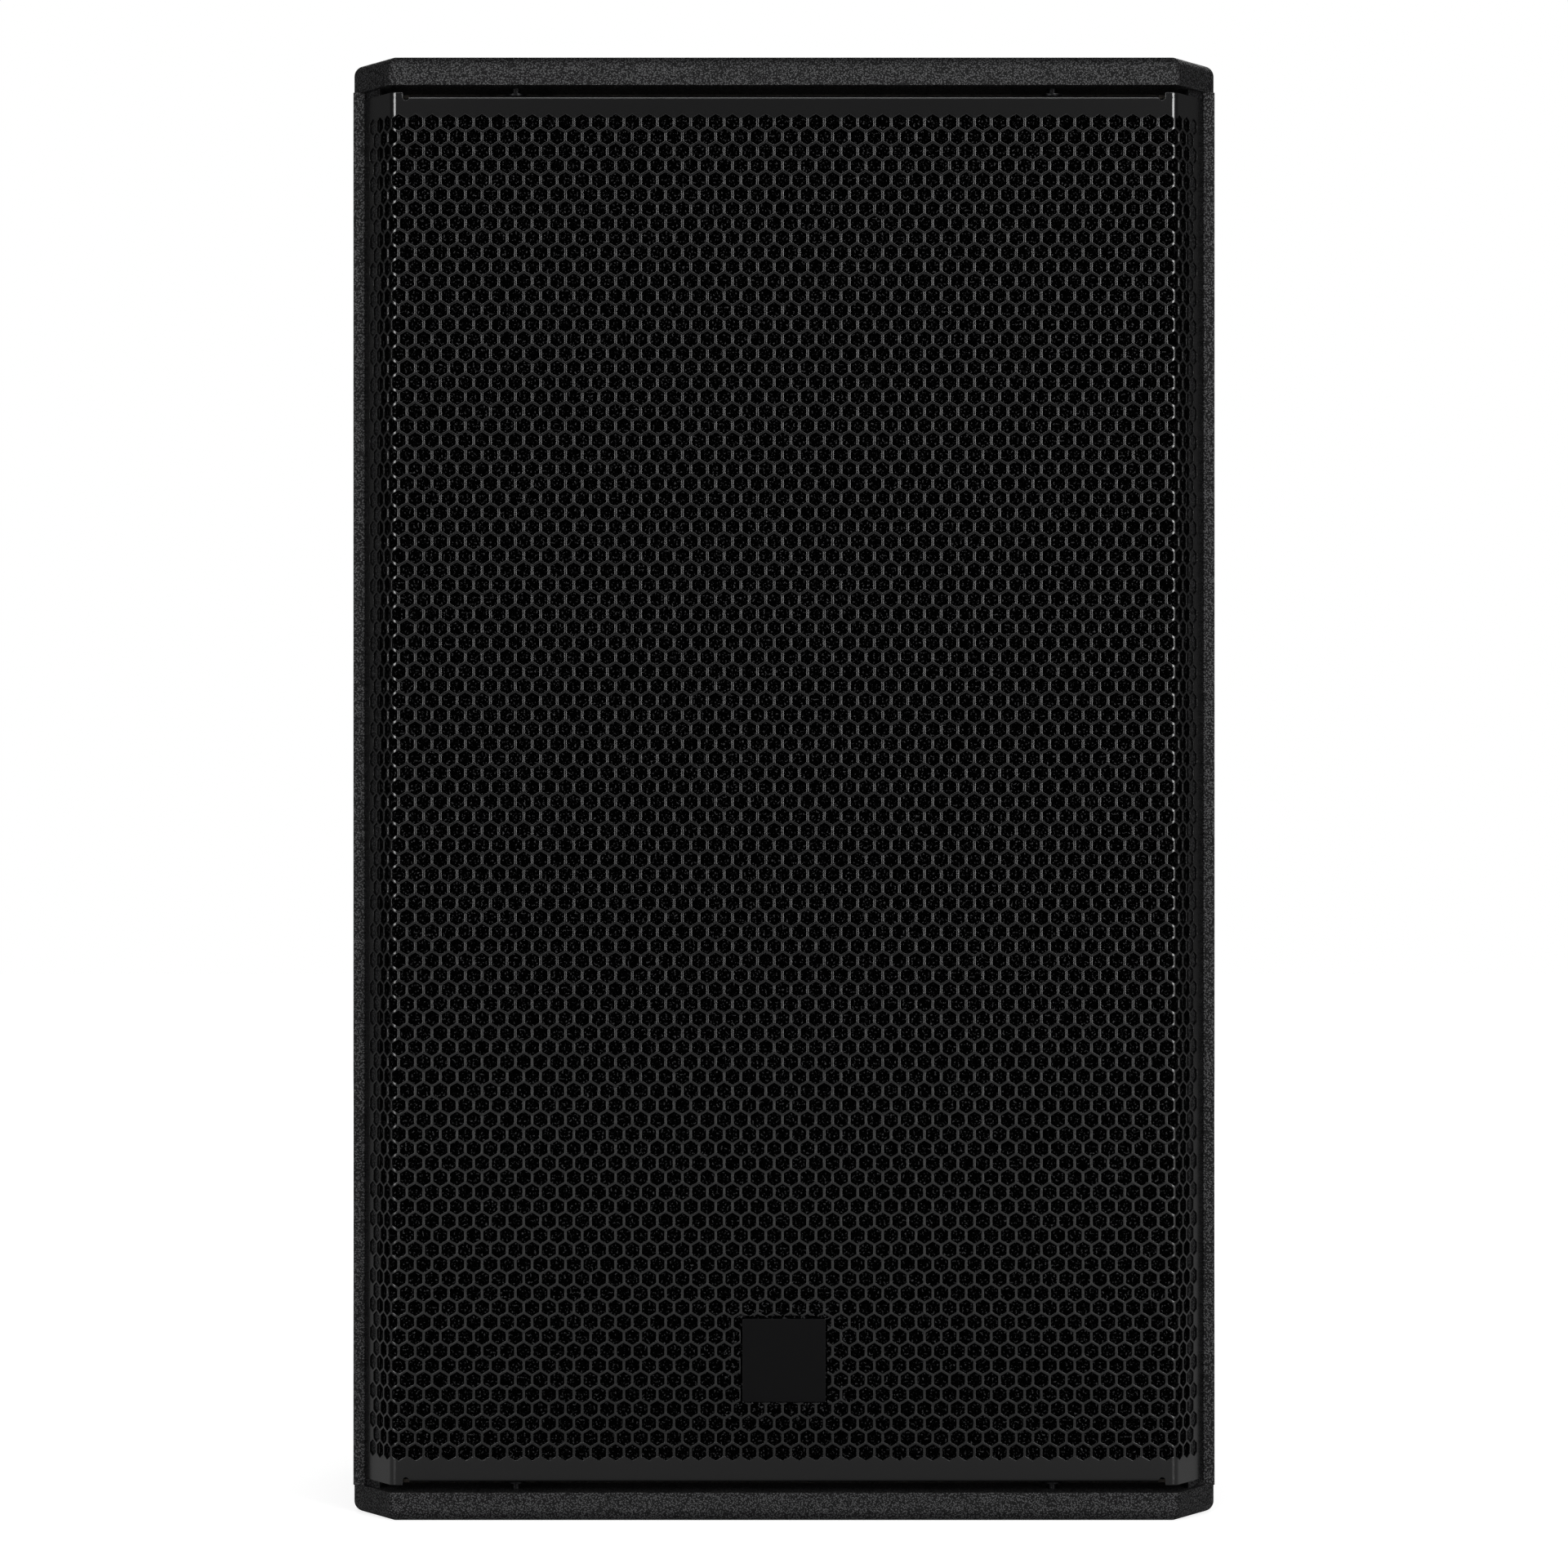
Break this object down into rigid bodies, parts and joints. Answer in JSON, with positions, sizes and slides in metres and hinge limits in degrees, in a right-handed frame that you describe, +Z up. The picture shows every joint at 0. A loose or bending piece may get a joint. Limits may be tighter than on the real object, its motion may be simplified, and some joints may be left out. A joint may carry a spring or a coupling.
{
  "type": "pa speaker cabinet",
  "caption": "Tall plywood loudspeaker box with bevelled front, full perforated steel grille, side handles, rear amplifier panel and pole socket.",
  "frame": {"origin": "middle of the underside of the cabinet's box", "axes": "+Z up, -Y out of the grille, +X to the right of someone who looks at the grille"},
  "size_m": [0.365, 0.37, 0.614],
  "materials": {
    "textured_paint": "textured black paint on birch plywood",
    "bare_plywood": "plywood, thin black stain",
    "grille_steel": "satin black powder coat on perforated steel",
    "grille_foam": "open-cell black foam",
    "badge_plastic": "satin black",
    "black_steel": "black powder coat",
    "zinc_steel": "zinc plated",
    "black_screws": "black zinc plated steel",
    "cast_aluminium": "die cast, dark grey",
    "ferrite": "fired ferrite",
    "driver_steel": "black plated steel",
    "paper_cone": "pressed paper, black",
    "treated_cloth": "treated cloth",
    "gasket_foam": "closed-cell rubber",
    "coil_wire": "enamelled copper wire",
    "moulded_plastic": "fine-grain moulded",
    "grip_rubber": "soft rubber",
    "socket_metal": "black nickel",
    "sink_aluminium": "black anodised",
    "circuit_board": "solder mask green",
    "led_lens": "clear green",
    "wadding_fibre": "white polyester fibre"
  },
  "bodies": {
    "cabinet": {"acoustic_wadding": "wadding_fibre", "amp_board": "circuit_board", "amp_panel": "black_steel", "amp_screws": "black_screws", "badge_bracket": "black_steel", "badge_plate": "badge_plastic", "board_standoffs": "zinc_steel", "bottom_panel": "textured_paint", "driver_body": "driver_steel", "driver_bolts": "black_screws", "driver_cap": "cast_aluminium", "front_baffle": "bare_plywood", "grille": "grille_steel", "grille_foam": "grille_foam", "grille_rivet_nuts": "black_screws", "grille_screws": "black_screws", "handle_grips": "grip_rubber", "handle_screws": "black_screws", "heat_sink": "sink_aluminium", "horn": "moulded_plastic", "horn_screws": "black_screws", "input_socket": "socket_metal", "left_handle_cup": "moulded_plastic", "left_rear_panel": "textured_paint", "left_side_panel": "textured_paint", "motor_back_plate": "zinc_steel", "motor_magnet": "ferrite", "motor_top_plate": "zinc_steel", "output_socket": "socket_metal", "pole_socket": "black_steel", "pole_socket_screws": "black_screws", "port_tubes": "moulded_plastic", "power_inlet": "moulded_plastic", "power_switch_frame": "moulded_plastic", "preset_switch_body": "moulded_plastic", "rear_panel": "textured_paint", "rigging_inserts": "zinc_steel", "right_handle_cup": "moulded_plastic", "right_rear_panel": "textured_paint", "right_side_panel": "textured_paint", "shelf_brace": "bare_plywood", "status_leds": "led_lens", "top_panel": "textured_paint", "transformer": "coil_wire", "transformer_clamp": "black_steel", "volume_pot": "moulded_plastic", "woofer_basket": "cast_aluminium", "woofer_gasket": "gasket_foam", "woofer_screws": "black_screws", "woofer_spider": "treated_cloth", "woofer_surround": "treated_cloth"},
    "woofer_cone_assembly": {"woofer_cone": "paper_cone", "woofer_dust_cap": "paper_cone", "voice_coil": "coil_wire"},
    "volume_control": {"volume_knob": "moulded_plastic", "volume_shaft": "socket_metal"},
    "power_rocker": {"power_rocker": "moulded_plastic"},
    "preset_button": {"preset_button": "moulded_plastic"},
    "input_latch": {"input_latch": "moulded_plastic"}
  },
  "joints": [
    {"name": "cone_travel", "type": "slide", "parent": "cabinet", "child": "woofer_cone_assembly", "axis": [0, -1, 0], "range_m": [-0.006, 0.006], "stiffness_N_per_m": 3000, "deforming": ["woofer_surround", "woofer_spider"]},
    {"name": "volume_turn", "type": "hinge", "parent": "cabinet", "child": "volume_control", "pos_m": [0.05, 0.164, 0.288], "axis": [0, 1, 0], "range_deg": [-150, 150]},
    {"name": "power_rock", "type": "hinge", "parent": "cabinet", "child": "power_rocker", "pos_m": [-0.046, 0.161, 0.184], "axis": [1, 0, 0], "range_deg": [0, 20]},
    {"name": "preset_press", "type": "slide", "parent": "cabinet", "child": "preset_button", "axis": [0, -1, 0], "range_m": [0, 0.0015], "stiffness_N_per_m": 300, "springref_m": -0.001},
    {"name": "latch_press", "type": "slide", "parent": "cabinet", "child": "input_latch", "axis": [0, -1, 0], "range_m": [0, 0.0015], "stiffness_N_per_m": 400, "springref_m": -0.001}
  ]
}
